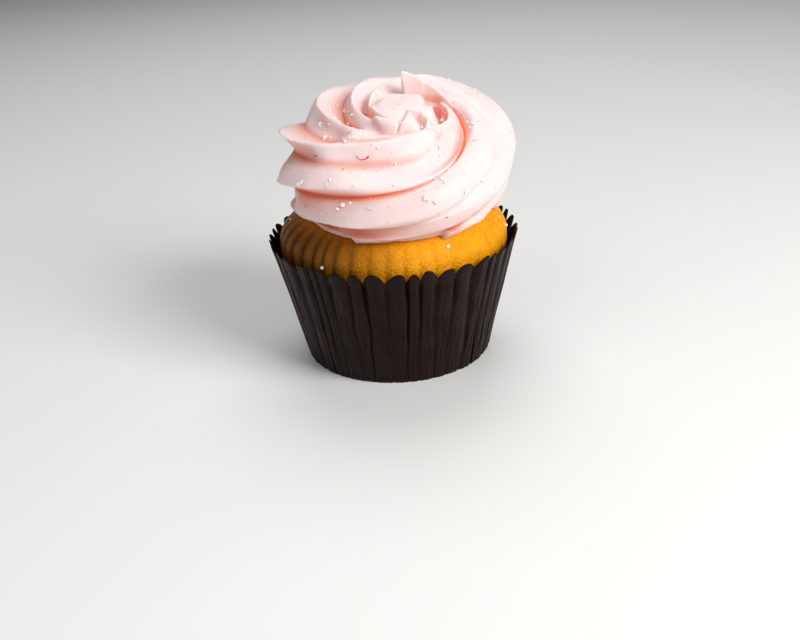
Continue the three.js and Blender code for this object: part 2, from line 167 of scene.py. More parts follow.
FOOT_TUCK = 1.8
FOOT_LOBE_TUCK = 2.3
FOOT_END_SHIFT = 0.11
FOOT_END_EDGE = 0.95
FOOT_DROP = 2.2
FOOT_TURN = 18
GROOVE_DEPTH = 1.3
GROOVE_DEPTH_GAIN = 4.2
GROOVE_SHARPNESS = 0.25
GROOVE_SHARPNESS_GAIN = 0.6
DEEPEST_AZIMUTH = 170
PEAK_RISE = 7.6
PEAK_TURN = 298
PEAK_START = 230
PEAK_CLIFF = 93
PEAK_CLIFF_EDGE = 6
PEAK_LEAN = 0.24
PEAK_END = 345
PEAK_END_EDGE = 20
PEAK_HALF_WIDTH = 0.56
PEAK_SLOPE = 0.42
EDGE_SHARE = 0.16
TORN_TIP = np.array([-31.0, -4.0, 57.5])
TORN_REACH = 6

# Painted shade on the frosting: hollows and faces turned from the light are painted salmon, and
# slits glow
SHUT_IN_REACH = 9
SHUT_IN_LINES = 28
OPEN_DOWNWARD = 0.4
NO_PAINTED_SHADE_HEIGHTS = (69.8, 72)
UPPER_WEIGHT = 0.5
TO_WINDOW = np.array([0.66, -0.53, 0.53])
WINDOW_WEIGHT = 0.55
CLOSE_WIDTH = 0.14
CLOSE_PAINTED_SHADE = 0.42
CLOSE_RIDGES = 4

# Sugar crystals and strawberry bits that show most: where they lie, and how big they are
BIG_CRYSTALS = [
    (-17.9, -0.9, 66.1, 0.9), (-11.5, 5.9, 67.6, 1.1), (-9.3, -1.5, 68.2, 0.8),
    (-14.2, -1.2, 67.3, 0.9), (-5.9, 3.1, 67.1, 0.7), (-21.4, -6.4, 63.6, 0.6),
    (-23.4, -21.3, 55.8, 1.0), (-18.3, -21.6, 58.8, 0.5), (-15.0, -25.4, 57.9, 0.6),
    (-15.3, -4.1, 66.5, 0.6), (-16.6, -6.5, 63.8, 1.0), (-11.0, -15.4, 64.6, 0.8),
    (-9.9, -10.0, 65.8, 0.6), (8.3, -31.0, 53.6, 1.2), (12.8, -26.8, 56.5, 1.0),
    (23.2, -22.5, 54.6, 0.8), (13.0, -14.4, 61.6, 0.9), (10.3, -12.3, 66.6, 0.8),
    (14.6, -2.6, 65.5, 1.0), (12.7, -11.9, 65.3, 0.8), (-11.9, -27.7, 51.8, 1.1),
    (-5.4, -30.7, 51.9, 0.8), (18.5, -27.1, 53.5, 0.7), (22.2, -14.8, 63.2, 0.7)]
SPONGE_CRYSTALS = [(13.8, -26.2, 38.8, 1.0), (-18.8, -25.3, 34.5, 1.0), (30.9, -5.7, 36.3, 0.9)]
BIG_FLECKS = [
    (16.3, -18.9, 58.8, 0.8), (13.5, -29.9, 48.0, 0.9), (0.5, -29.4, 56.8, 0.8),
    (-18.7, -15.7, 61.5, 1.2), (-11.7, -22.7, 59.5, 1.0), (-21.8, -20.3, 49.8, 1.0),
    (-16.7, -7.0, 63.5, 0.8), (-12.3, -26.7, 52.2, 0.5), (-21.4, -12.1, 62.3, 0.5),
    (-4.4, -18.3, 64.3, 0.5), (3.4, -9.3, 68.6, 0.4), (-5.4, -20.6, 61.8, 1.25)]
BERRY_THREAD = [(-8.4, -19.9, 62.2), (-7.6, -20.6, 61.5), (-6.9, -20.8, 61.1), (-6.5, -20.9, 61.4),
                (-6.1, -20.8, 61.2), (-5.6, -20.7, 61.7)]
TOPPING_SEED = 7
LOWEST_ON_FROSTING = 46
LOWEST_ON_SPONGE = 38

# ------------------------------------------------------------------------ small tools


def smoothstep(x, low, high):
    share = np.clip((np.asarray(x, float) - low) / (high - low), 0, 1)
    return share * share * (3 - 2 * share)


def bell(x, middle, width):
    return np.exp(-(((x - middle) / width) ** 2))


def blend_four(a, b, c, d, share):
    cubic = 3 * (b - c) + d - a
    square = 2 * a - 5 * b + 4 * c - d
    return b + 0.5 * share * (c - a + share * (square + share * cubic))


def along(values, place):
    """The value at a place along an open list, smoothly between its entries."""
    values = np.asarray(values, float)
    last = len(values) - 1
    x = np.clip(place, 0, last)
    i = np.minimum(np.floor(x).astype(int), last - 1)
    return blend_four(values[np.maximum(i - 1, 0)], values[i], values[i + 1],
                      values[np.minimum(i + 2, last)], x - i)


def around(values, place):
    """The value at a place on a list that closes on itself."""
    values = np.asarray(values, float)
    i = np.floor(place).astype(int)
    entry = [values[(i + k) % len(values)] for k in (-1, 0, 1, 2)]
    return blend_four(*entry, place - i)


def start_piece(name):
    obj = bpy.context.object
    obj.name = name
    obj.data.name = name
    return obj


def deselect():
    bpy.ops.object.select_all(action="DESELECT")


def take(obj):
    deselect()
    bpy.context.view_layer.objects.active = obj
    obj.select_set(True)


def vertex_places(obj):
    places = np.empty(len(obj.data.vertices) * 3)
    obj.data.vertices.foreach_get("co", places)
    return places.reshape(-1, 3)


def move_vertices(obj, places):
    obj.data.vertices.foreach_set("co", np.asarray(places, float).ravel())
    obj.data.update()


def store_share(obj, name, values):
    layer = obj.data.attributes.new(name, "FLOAT", "POINT")
    layer.data.foreach_set("value", np.asarray(values, np.float32))


def add_sheet(name, columns, rows):
    """A flat sheet of columns and rows, with the column and row of each of its vertices. It is
    wrapped round anticlockwise, row 0 draws together on top and the last row below, and
    close_sheet() joins it up."""
    deselect()
    bpy.ops.mesh.primitive_grid_add(x_subdivisions=columns, y_subdivisions=rows, size=2)
    sheet = start_piece(name)
    places = vertex_places(sheet)
    column = np.rint((places[:, 0] + 1) / 2 * columns).astype(int)
    row = np.rint((1 - places[:, 1]) / 2 * rows).astype(int)
    return sheet, column % columns, row


def close_sheet(sheet):
    take(sheet)
    bpy.ops.object.mode_set(mode="EDIT")
    bpy.ops.mesh.select_all(action="SELECT")
    bpy.ops.mesh.remove_doubles(threshold=1e-7)
    bpy.ops.mesh.dissolve_degenerate(threshold=1e-7)
    bpy.ops.object.mode_set(mode="OBJECT")
    bpy.ops.object.shade_smooth()


def smooth_noise(places, size, seed):
    """Soft lumps of that size, from -1 to 1, at each place in millimetres."""
    cells = 32
    lattice = np.random.default_rng(seed).uniform(-1, 1, (cells, cells, cells))
    spot = np.asarray(places) / size
    low = np.floor(spot).astype(int)
    share = spot - low
    share = share * share * (3 - 2 * share)
    total = np.zeros(len(spot))
    for corner in np.ndindex(2, 2, 2):
        weight = np.prod(np.where(corner, share, 1 - share), axis=1)
        i, j, k = ((low + corner) % cells).T
        total += weight * lattice[i, j, k]
    return total


def lumps(places, size, seed, height):
    return smooth_noise(places, size, seed) * height


def point_round(radius, angle, height):
    return np.stack([radius * np.cos(angle), radius * np.sin(angle), height], -1)


def tree_of(obj):
    mesh = obj.data
    return BVHTree.FromPolygons([v.co for v in mesh.vertices], [p.vertices for p in mesh.polygons])


def turn_faces_out(obj):
    take(obj)
    bpy.ops.object.mode_set(mode="EDIT")
    bpy.ops.mesh.select_all(action="SELECT")
    bpy.ops.mesh.normals_make_consistent(inside=False)
    bpy.ops.object.mode_set(mode="OBJECT")


# ------------------------------------------------------------------------- paper case


def pleat_angle(pleat):
    even = 2 * np.pi * pleat / PLEATS
    wander = 0.035 * np.cos(5 * even) + 0.012 * np.cos(11 * even + 1)
    return even + np.sin(2 * even) * wander


def fold_share(pleat):
    return 1 - np.abs(np.cos(np.pi * pleat))


def case_point(pleat, level, inset=0.0):
    """A point of the case's evenly pleated wall. level is 0 at the base and 1 at the rim."""
    fold = fold_share(pleat)
    depth = PLEAT_DEPTH_BASE + PLEAT_DEPTH_GAIN * level ** 1.2
    radius = BASE_RADIUS + (RIM_RADIUS - BASE_RADIUS) * level - depth * fold - inset
    notch = NOTCH_DEPTH * smoothstep(level, 0.8, 1) * fold ** 1.3
    return point_round(radius, pleat_angle(pleat), CASE_HEIGHT * level - notch)


def handled_case_point(pleat, level):
    """The same wall after handling: each pleat is a lobe between two narrow folds, and finer
    creases open below the lobes. Pleats differ in width and depth, and their folds waver."""
    draw = np.random.default_rng(PLEAT_SEED)
    widths = draw.uniform(-0.3, 0.3, PLEATS)
    depths = draw.uniform(0.7, 1.25, PLEATS)
    leans = draw.uniform(-0.4, 0.5, PLEATS)
    rims = draw.uniform(-0.4, 0.3, PLEATS)
    waves = draw.uniform(0, 2 * np.pi, (4, PLEATS))
    valley = np.floor(pleat).astype(int) % PLEATS
    lobe = np.rint(pleat).astype(int) % PLEATS
    off_lobe = pleat - np.rint(pleat)
    fold = fold_share(pleat)
    down = 1 - level
    towards_fold = np.clip((np.abs(off_lobe) - FOLD_START) / (0.5 - FOLD_START), 0, 1)
    narrow = towards_fold ** (2.0 + 1.2 * down)
    waver = 0.2 * np.sin(6.5 * level + waves[0][valley])
    waver += 0.09 * np.sin(17 * level + waves[1][valley])
    creases = 0
    for middle, opening in CREASES:
        at = middle + 0.12 * np.sin(waves[2][lobe])
        at += 0.06 * np.sin(11 * level + waves[3][lobe] + 9 * middle)
        crease = 0.14 + 0.22 * np.sin(waves[3][lobe] + 20 * middle) ** 2
        crease *= np.exp(-np.abs((off_lobe - at) / CREASE_WIDTH))
        creases += crease * smoothstep(down, opening, opening + 0.3)
    shift = around(widths, pleat) * 0.8 + narrow * (leans[valley] * 0.25 + waver * down)
    depth = (HANDLED_DEPTH_BASE + HANDLED_DEPTH_GAIN * level ** 1.6) * depths[valley] * narrow
    depth += creases
    bulge = 0.1 * np.sin(9 * level + waves[2][lobe]) * (1 - fold) * down
    radius = BASE_RADIUS + (RIM_RADIUS - BASE_RADIUS) * level - depth + bulge - HANDLED_INSET
    top = smoothstep(level, 0.84, 1)
    notch = HANDLED_NOTCH_DEPTH * top * np.abs(2 * off_lobe) ** 2.7 * (0.7 + 0.3 * depths[valley])
    height = CASE_HEIGHT * level - notch + top * rims[lobe] * (1 - fold) - HANDLED_RIM_DROP * top
    return point_round(radius, pleat_angle(pleat + shift), height)


def make_paper_case():
    """A disc of paper whose edge is drawn up in rings, then folded into pleats."""
    per_pleat = 24
    columns = PLEATS * per_pleat
    levels = 40
    deselect()
    bpy.ops.mesh.primitive_circle_add(vertices=columns, radius=BASE_RADIUS * MM, fill_type="NGON")
    case = start_piece("pleated_case")
    bpy.ops.object.mode_set(mode="EDIT")
    bpy.ops.mesh.select_all(action="SELECT")
    bpy.ops.mesh.inset(thickness=1.2 * MM)
    bpy.ops.mesh.select_all(action="DESELECT")
    bpy.ops.mesh.select_mode(type="EDGE")
    bpy.ops.mesh.select_non_manifold()
    for step in range(levels):
        was = BASE_RADIUS + (RIM_RADIUS - BASE_RADIUS) * step / levels
        now = BASE_RADIUS + (RIM_RADIUS - BASE_RADIUS) * (step + 1) / levels
        bpy.ops.mesh.extrude_edges_move(
            TRANSFORM_OT_translate={"value": (0, 0, CASE_HEIGHT / levels * MM)})
        bpy.ops.transform.resize(value=(now / was, now / was, 1))
    bpy.ops.object.mode_set(mode="OBJECT")
    places = vertex_places(case) / MM
    azimuth = np.arctan2(places[:, 1], places[:, 0])
    column = np.rint(azimuth / (2 * np.pi) * columns).astype(int) % columns
    wall = np.hypot(places[:, 0], places[:, 1]) > BASE_RADIUS - 0.5
    level = np.rint(places[:, 2] / CASE_HEIGHT * levels) / levels
    shaped = handled_case_point(column / per_pleat, level)
    places[wall] = shaped[wall]
    move_vertices(case, places * MM)
    turn_faces_out(case)
    wall_maker = case.modifiers.new("paper_thickness", "SOLIDIFY")
    wall_maker.thickness = PAPER * MM
    wall_maker.offset = -1
    bpy.ops.object.modifier_apply(modifier=wall_maker.name)
    bpy.ops.object.shade_smooth()
    places = vertex_places(case)
    places[:, 2] = np.maximum(places[:, 2], 0)
    move_vertices(case, places)
    return case


# ----------------------------------------------------------------------------- sponge


def dome_height(radius):
    share = np.minimum(radius / SPONGE_RADIUS, 1)
    return SPONGE_EDGE_HEIGHT + DOME_RISE * np.sqrt(1 - share * share)


def make_sponge():
    per_pleat = 8
    columns = PLEATS * per_pleat
    dome_rows = 40
    side_rows = 16
    rows = dome_rows + side_rows + 1
    sponge, column, row = add_sheet("sponge_cake", columns, rows)
    pleat = column / per_pleat
    fold = fold_share(pleat)
    angle = pleat_angle(pleat)
    share = np.minimum(row / dome_rows, 1)
    radius = SPONGE_RADIUS * np.sin(share * np.pi / 2) ** 0.9
    mark = BAKED_PLEAT_MARK * fold ** 1.5 * smoothstep(radius, 26, SPONGE_RADIUS)
    height = dome_height(radius)
    down = np.clip((row - dome_rows) / side_rows, 0, 1)
    bottom = PAPER + GAP
    side_height = SPONGE_EDGE_HEIGHT + (bottom - SPONGE_EDGE_HEIGHT) * down
    height = np.where(row > dome_rows, side_height, height)
    radius = radius - mark
    wall = case_point(pleat, np.clip(side_height / CASE_HEIGHT, 0, 1), SPONGE_INSET)
    wall_radius = np.hypot(wall[:, 0], wall[:, 1])
    radius = np.where(row > dome_rows, np.minimum(radius, wall_radius), radius)
    radius = np.where((row == 0) | (row == rows), 0, radius)
    places = point_round(radius, angle, height)
    uneven = sum(lumps(places, *each) for each in SPONGE_LUMPS)
    places[:, 2] += uneven * (row <= dome_rows) * smoothstep(radius, *SPONGE_LUMP_RADII)
    move_vertices(sponge, places * MM)
    # Painted shade: the sponge's left side, turned from the window light and under the frosting's
    # overhang, is painted dark, more towards the rim and a little more in the flutes.
    shaded_side = smoothstep(np.cos(angle - math.radians(DARKEST_SHADE_AZIMUTH)), -0.1, 0.9)
    painted_sponge_shade = shaded_side * smoothstep(radius, *PAINTED_SHADE_RADII) * (0.8 + 0.2 * fold)
    store_share(sponge, "painted_sponge_shade", painted_sponge_shade)
    close_sheet(sponge)
    return sponge


# ----------------------------------------------------------------------- frosting swirl


def left_share(azimuth):
    """1 on the swirl's left side, falling to 0 along its front and back."""
    azimuth = azimuth % 360
    return (1 - smoothstep(azimuth, *LEFT_ENDS)) * smoothstep(azimuth, *LEFT_STARTS)


def right_share(azimuth, starts, ends):
    """1 on the swirl's right side, rising from 0 across starts and falling back across ends."""
    azimuth = azimuth % 360
    return np.maximum(smoothstep(azimuth, *starts), 1 - smoothstep(azimuth, *ends))


def at_ridge(values, ridge):
    return np.asarray(values)[ridge]


def column_place(column, per_ridge, turn):
    """Where a column lies between crests. place counts in ridges and is whole at a crest, share
    is 0 at a crest and 1 in a groove, and from_groove is how far off the groove is in ridges."""
    ridge = column // per_ridge
    azimuth = FIRST_RIDGE_ANGLE - 360 / RIDGES * ridge + at_ridge(RIDGE_LAGS, ridge) + turn
    left = left_share(azimuth)
    groove = at_ridge(LEFT_GROOVES, ridge) * left + at_ridge(OTHER_GROOVES, ridge) * (1 - left)
    half = (column % per_ridge) / (per_ridge / 2)
    place = np.where(half < 1, ridge + groove * half, ridge + groove + (1 - groove) * (half - 1))
    share = np.where(half < 1, half, 2 - half)
    from_groove = (1 - share) * np.where(half < 1, groove, 1 - groove)
    return ridge, place, share, from_groove


def groove_share(share, sharpness):
    """The share of a groove's depth that is reached between its crest and its bottom. At
    sharpness 1 ridges are sharp and grooves round, and at 0 it is the other way about."""
    sharp = np.sin(np.pi * share / 2)
    rounded = 1 - np.cos(np.pi * share / 2)
    return sharpness * sharp + (1 - sharpness) * rounded


def peak_rise(place, angle, turn):
    """How far the first ridge climbs towards the pulled point, which breaks off at a cliff."""
    from_ridge = np.minimum(place, RIDGES - place)
    climb = np.clip((turn - PEAK_START) / (PEAK_TURN - PEAK_START), 0, 1) ** 0.75
    azimuth = (np.degrees(angle) + 180) % 360 - 180
    cliff = np.clip((PEAK_CLIFF - azimuth) / PEAK_CLIFF_EDGE, 0, 1)
    fall = cliff * np.clip((PEAK_END - turn) / PEAK_END_EDGE, 0, 1)
    return PEAK_RISE * climb * fall * smoothstep(PEAK_HALF_WIDTH - from_ridge, 0, PEAK_SLOPE)


def foot_lobe_tuck(place, turn):
    """How far the swirl's foot is drawn in between the blunt ends of its lobes."""
    upright = place - turn * RIDGES / 360 + FOOT_END_SHIFT
    past_end = np.ceil(upright) - upright
    blunt = past_end ** 1.4 * (1 - smoothstep(past_end, FOOT_END_EDGE, 1))
    return FOOT_LOBE_TUCK * blunt * (1 - smoothstep(turn, *FOOT_LOBE_TURNS))


def inside_distance(x, y, outline):
    """How far each place lies inside a closed outline from above, or outside it if negative."""
    nearest = np.full(np.shape(x), 1e9)
    inside = np.zeros(np.shape(x), bool)
    for (ax, ay), (bx, by) in zip(outline, outline[1:] + outline[:1]):
        dx, dy = bx - ax, by - ay
        share = np.clip(((x - ax) * dx + (y - ay) * dy) / (dx * dx + dy * dy), 0, 1)
        nearest = np.minimum(nearest, np.hypot(x - ax - share * dx, y - ay - share * dy))
        if ay != by:
            inside ^= ((ay > y) != (by > y)) & (x < ax + (y - ay) * dx / dy)
    return np.where(inside, nearest, -nearest)


def eye_relief(x, y):
    """The height of the eye's mound, with its step, crease and hollows, over the smooth top."""
    mound = smoothstep(inside_distance(x, y, EYE_MOUND), *MOUND_EDGE)
    step = smoothstep(inside_distance(x, y, EYE_STEP), *STEP_EDGE)
    hollow = smoothstep(inside_distance(x, y, EYE_HOLLOW), *HOLLOW_EDGE)
    crescent = smoothstep(inside_distance(x, y, EYE_CRESCENT), *CRESCENT_EDGE)
    crease = -inside_distance(x, y, EYE_CREASE)
    groove = np.exp(-np.abs(crease / EYE_CREASE_WIDTH) ** 1.5)
    return (MOUND_HEIGHT * mound - STEP_DEPTH * step - HOLLOW_DEPTH * hollow
            - CRESCENT_DEPTH * crescent - EYE_CREASE_DEPTH * groove)


def groove_depth(ridge, share, leftness, azimuth, turn):
    """How deep each place lies under its crest's line. Grooves are deepest on the left, and some
    of them fade along the front, on the right or near the eye."""
    front = smoothstep(azimuth, *FRONT_STARTS) * (1 - smoothstep(azimuth, *FRONT_ENDS))
    right = right_share(azimuth, RIGHT_STARTS, RIGHT_ENDS)
    fade = np.maximum(front * at_ridge(FRONT_FADES, ridge), right * at_ridge(RIGHT_FADES, ridge))
    full = GROOVE_DEPTH + GROOVE_DEPTH_GAIN * leftness
    full = full * (1 - fade * smoothstep(turn, *SIDE_FADE_TURNS)) * at_ridge(DEPTH_SHARES, ridge)
    late = smoothstep(turn, *EYE_FADE_TURNS)
    full = full * (1 - late + late * at_ridge(LATE_DEPTHS, ridge))
    sharpness = GROOVE_SHARPNESS + GROOVE_SHARPNESS_GAIN * leftness
    return along(GROOVE_SHARES, turn / TURN_STEP) * full * groove_share(share, sharpness)


def slit_depth(ridge, from_groove, leftness, azimuth, turn):
    """How much deeper the narrow slit in a groove's bottom goes, mostly on the right side."""
    slit = at_ridge(SLITS, ridge) * (1 - leftness) * np.clip(1 - from_groove / SLIT_WIDTH, 0, 1)
    slit = slit * (1 - smoothstep(turn, *SLIT_END_TURNS)) * along(GROOVE_SHARES, turn / TURN_STEP)
    return slit * (SLIT_REST + (1 - SLIT_REST) * right_share(azimuth, SLIT_STARTS, SLIT_ENDS))


def swirl_point(ridge, place, share, from_groove, turn):
    """A point of the swirl. A ridge keeps its place as the turn grows from 0 at the swirl's foot
    to its greatest at the eye, and depths are taken inward at the foot and downward by the eye."""
    step = turn / TURN_STEP
    angle = np.radians(FIRST_RIDGE_ANGLE - 360 / RIDGES * place + around(RIDGE_LAGS, place) + turn)
    inward = smoothstep(turn, *INWARD_TURNS)
    foot = 1 - smoothstep(turn, 0, FOOT_TURN)
    radius = along(CREST_RADII, step) - FOOT_TUCK * foot - foot_lobe_tuck(place, turn)
    x = SWIRL_FOOT[0] + (SWIRL_EYE[0] - SWIRL_FOOT[0]) * inward + radius * np.cos(angle)
    y = SWIRL_FOOT[1] + (SWIRL_EYE[1] - SWIRL_FOOT[1]) * inward + radius * np.sin(angle)
    lean = (SWIRL_LEAN[0] * x + SWIRL_LEAN[1] * y) * np.clip(turn / LEAN_TURN, 0, 1)
    lift = lean + around(LOW_LIFTS, place) * bell(turn, LOW_LIFT_TURN, LOW_LIFT_WIDTH)
    lift += around(HIGH_LIFTS, place) * bell(turn, HIGH_LIFT_TURN, HIGH_LIFT_WIDTH)
    lift += around(EYE_LIFTS, place) * bell(turn, EYE_LIFT_TURN, EYE_LIFT_WIDTH)
    peak = peak_rise(place, angle, turn)
    x = x - PEAK_LEAN * peak
    lift += peak - FOOT_DROP * foot
    z = along(CREST_HEIGHTS, step) + lift
    azimuth = np.degrees(angle) % 360
    leftness = (0.5 + 0.5 * np.cos(angle - math.radians(DEEPEST_AZIMUTH))) ** 1.8
    depth = groove_depth(ridge, share, leftness, azimuth, turn)
    slit = slit_depth(ridge, from_groove, leftness, azimuth, turn)
    tilt = np.radians(along(GROOVE_TILTS, step))
    slit_tilt = np.maximum(tilt, math.radians(SLIT_TILT) * smoothstep(turn, *SLIT_TILT_TURNS))
    level = depth * np.cos(tilt) + slit * np.cos(slit_tilt)
    x = x - level * np.cos(angle)
    y = y - level * np.sin(angle)
    z = z - depth * np.sin(tilt) - slit * np.sin(slit_tilt)
    z = z + eye_relief(x, y) * smoothstep(turn, *EYE_RELIEF_TURNS)
    z = np.maximum(z, dome_height(np.hypot(x, y)) + GAP)
    return np.stack([x, y, z], -1)


def shut_in_share(obj, columns, rows, column, row, reach):
    """How shut in each place of a sheet is, from 0 in the open to 1: the share of straight lines
    out of it that meet the sheet again within reach, in millimetres. Every second column and
    row is measured, and the rest lie between them."""
    mesh = obj.data
    tree = tree_of(obj)
    index = np.zeros((rows + 1, columns + 1), int)
    index[row, column] = np.arange(len(row))
    golden = math.pi * (3 - math.sqrt(5))
    rays = []
    for i in range(SHUT_IN_LINES):
        up = 1 - (i + 0.5) / SHUT_IN_LINES
        out = math.sqrt(1 - up * up)
        rays.append((out * math.cos(golden * i), out * math.sin(golden * i), up))
    coarse = np.zeros((rows // 2 + 1, columns // 2))
    for i in range(coarse.shape[0]):
        for j in range(coarse.shape[1]):
            vertex = mesh.vertices[int(index[min(2 * i, rows), 2 * j])]
            normal = vertex.normal
            side = normal.orthogonal().normalized()
            other = normal.cross(side)
            start = vertex.co + normal * 0.15 * MM
            hits = 0
            for x, y, z in rays:
                line = side * x + other * y + normal * z
                if tree.ray_cast(start, line, reach * MM)[0]:
                    hits += 1
                # Lines that leave downward count partly as shut in, so faces that look down get
                # more painted shade.
                elif line.z < -0.2:
                    hits += OPEN_DOWNWARD
            coarse[i, j] = hits / len(rays)
    coarse = (np.roll(coarse, 1, 1) + 2 * coarse + np.roll(coarse, -1, 1)) / 4
    fine = np.repeat(coarse, 2, axis=1)
    fine = (fine + np.roll(fine, 1, 1)) / 2
    between = np.clip(np.arange(rows + 1) / 2, 0, coarse.shape[0] - 1)
    low = np.floor(between).astype(int)
    high = np.minimum(low + 1, coarse.shape[0] - 1)
    share = (between - low)[:, None]
    fine = fine[low] * (1 - share) + fine[high] * share
    return fine[row, column % columns]


def painted_shade_and_glow(places, normals, painted_hollow_shade, ridge, from_groove, turn, under):
    """How much painted shade each place gets, salmon in hollows and on faces turned from the light,
    and how much painted glow a narrow slit gives off.
    """
    # Painted shade is taken off the highest part, and lessened on faces that look at the window
    # light and on the upper turns away from the left side, where light falls.
    painted_hollow_shade = painted_hollow_shade * (1 - smoothstep(places[:, 2], *NO_PAINTED_SHADE_HEIGHTS))
    painted_hollow_shade *= 1 - WINDOW_WEIGHT * np.clip(normals @ TO_WINDOW, 0, 1)
    azimuth = np.degrees(np.arctan2(places[:, 1] - SWIRL_FOOT[1], places[:, 0] - SWIRL_FOOT[0]))
    left = left_share(azimuth)
    upper = smoothstep(turn, *UPPER_START_TURNS) * (1 - smoothstep(turn, *UPPER_END_TURNS))
    painted_hollow_shade *= 1 - UPPER_WEIGHT * upper * (1 - left) * (ridge > 0)
    painted_here = ~under * smoothstep(turn, *PAINTED_SHADE_START_TURNS) * (1 - smoothstep(turn, *SLIT_END_TURNS))
    # Painted shade along the bottoms of the grooves on the left side.
    close = np.exp(-(from_groove / CLOSE_WIDTH) ** 2) * left * (ridge < CLOSE_RIDGES)
    # Painted glow: narrow slits on the right side give off orange light, and are painted at least
    # that salmon.
    narrow = np.clip(1 - from_groove / SLIT_WIDTH, 0, 1) * (1 - left)
    narrow *= at_ridge(PAINTED_SLIT_GLOWS, ridge) * painted_here * right_share(azimuth, SLIT_STARTS, SLIT_ENDS)
    painted_hollow_shade = np.maximum(painted_hollow_shade + CLOSE_PAINTED_SHADE * close * painted_here, narrow)
    return np.clip(painted_hollow_shade, 0, 1), np.clip(narrow, 0, 1)


def make_frosting():
    """One sheet of columns and rings from the eye out to the foot, and back in under it."""
    per_ridge = 48
    columns = RIDGES * per_ridge
    swirl_rings = 250
    under_shares = np.array([0.985, 0.95, 0.88, 0.76, 0.6, 0.45, 0.3, 0.15])
    last_row = swirl_rings + len(under_shares) + 1
    last_turn = TURN_STEP * (len(CREST_RADII) - 1)
    frosting, sheet_column, row = add_sheet("frosting_swirl", columns, last_row)
    column = (columns - sheet_column) % columns
    turn = last_turn * np.maximum(swirl_rings - row, 0) / (swirl_rings - 1)
    turn = np.minimum(turn, last_turn)
    ridge, place, share, from_groove = column_place(column, per_ridge, turn)
    places = swirl_point(ridge, place, share, from_groove, turn)
    under = row > swirl_rings
    inward = np.append(under_shares, 0)[np.clip(row - swirl_rings - 1, 0, len(under_shares))]
    radius = np.hypot(places[:, 0], places[:, 1]) * inward
    angle = np.arctan2(places[:, 1], places[:, 0])
    places[under] = point_round(radius, angle, dome_height(radius) + GAP)[under]
    places[row == 0] = places[row == 1].mean(axis=0)
    rise = sum(lumps(places, *each) for each in FROSTING_LUMPS)
    edge = 1 - smoothstep(share, 0, EDGE_SHARE)
    edge = edge * smoothstep(turn, *EDGE_START_TURNS) * (1 - smoothstep(turn, *EDGE_END_TURNS))
    rise += lumps(places, *EDGE_LUMPS) * edge
    from_tip = np.linalg.norm(places - TORN_TIP, axis=1)
    rise += lumps(places, *TORN_LUMPS) * np.exp(-(from_tip / TORN_REACH) ** 2)
    outward = places - SWIRL_MIDDLE
    outward /= np.linalg.norm(outward, axis=1)[:, None]
    places += outward * (rise * ~under)[:, None]
    move_vertices(frosting, places * MM)
    painted_hollow_shade = shut_in_share(frosting, columns, last_row, sheet_column, row, SHUT_IN_REACH)
    normals = np.array([vertex.normal for vertex in frosting.data.vertices])
    # The frosting's painted shade and painted slit glow, stored for its material.
    tint, through = painted_shade_and_glow(places, normals, painted_hollow_shade, ridge, from_groove, turn, under)
    store_share(frosting, "painted_hollow_shade", tint)
    store_share(frosting, "painted_slit_glow", through)
    close_sheet(frosting)
    return frosting


# ------------------------------------------------------------- sugar, fruit and seeds


def make_grain(kind):
    """One small solid, about 1 mm across: a bevelled cube of sugar, or a rounded lump."""
    deselect()
    if kind == "sugar":
        bpy.ops.mesh.primitive_cube_add(size=1)
        bpy.ops.object.mode_set(mode="EDIT")
        bpy.ops.mesh.bevel(offset=0.11, segments=1)
    else:
        bpy.ops.mesh.primitive_ico_sphere_add(subdivisions=1, radius=0.5)
        bpy.ops.object.mode_set(mode="EDIT")
        bpy.ops.mesh.bevel(offset=0.08, segments=1)
    bpy.ops.object.mode_set(mode="OBJECT")
    grain = bpy.context.object
    corners = vertex_places(grain)
    faces = [list(face.vertices) for face in grain.data.polygons]
    bpy.data.objects.remove(grain)
    return corners, faces


def open_spots(host, draw, lowest, count, sizes):
    """Seeded places on a piece's faces that look upward or outward, each with a size. Most of
    them are near the smaller of the two sizes."""
    mesh = host.data
    area = np.empty(len(mesh.polygons))
    mesh.polygons.foreach_get("area", area)
    middle = np.empty(len(area) * 3)
    mesh.polygons.foreach_get("center", middle)
    normal = np.empty(len(area) * 3)
    mesh.polygons.foreach_get("normal", normal)
    middle, normal = middle.reshape(-1, 3) / MM, normal.reshape(-1, 3)
    weight = area * (normal[:, 2] > -0.3) * (middle[:, 2] > lowest)
    chosen = draw.choice(len(area), count, replace=False, p=weight / weight.sum())
    low, high = sizes
    size = low + (high - low) * draw.random(count) ** 2.2
    return [(*middle[i], each) for i, each in zip(chosen, size)]


def beside(spots, draw):
    """Two smaller neighbours for each spot."""
    return [(*(np.array(spot[:3]) + draw.normal(0, 1.1, 3)), spot[3] * draw.uniform(0.4, 0.75))
            for spot in spots for _ in range(2)]


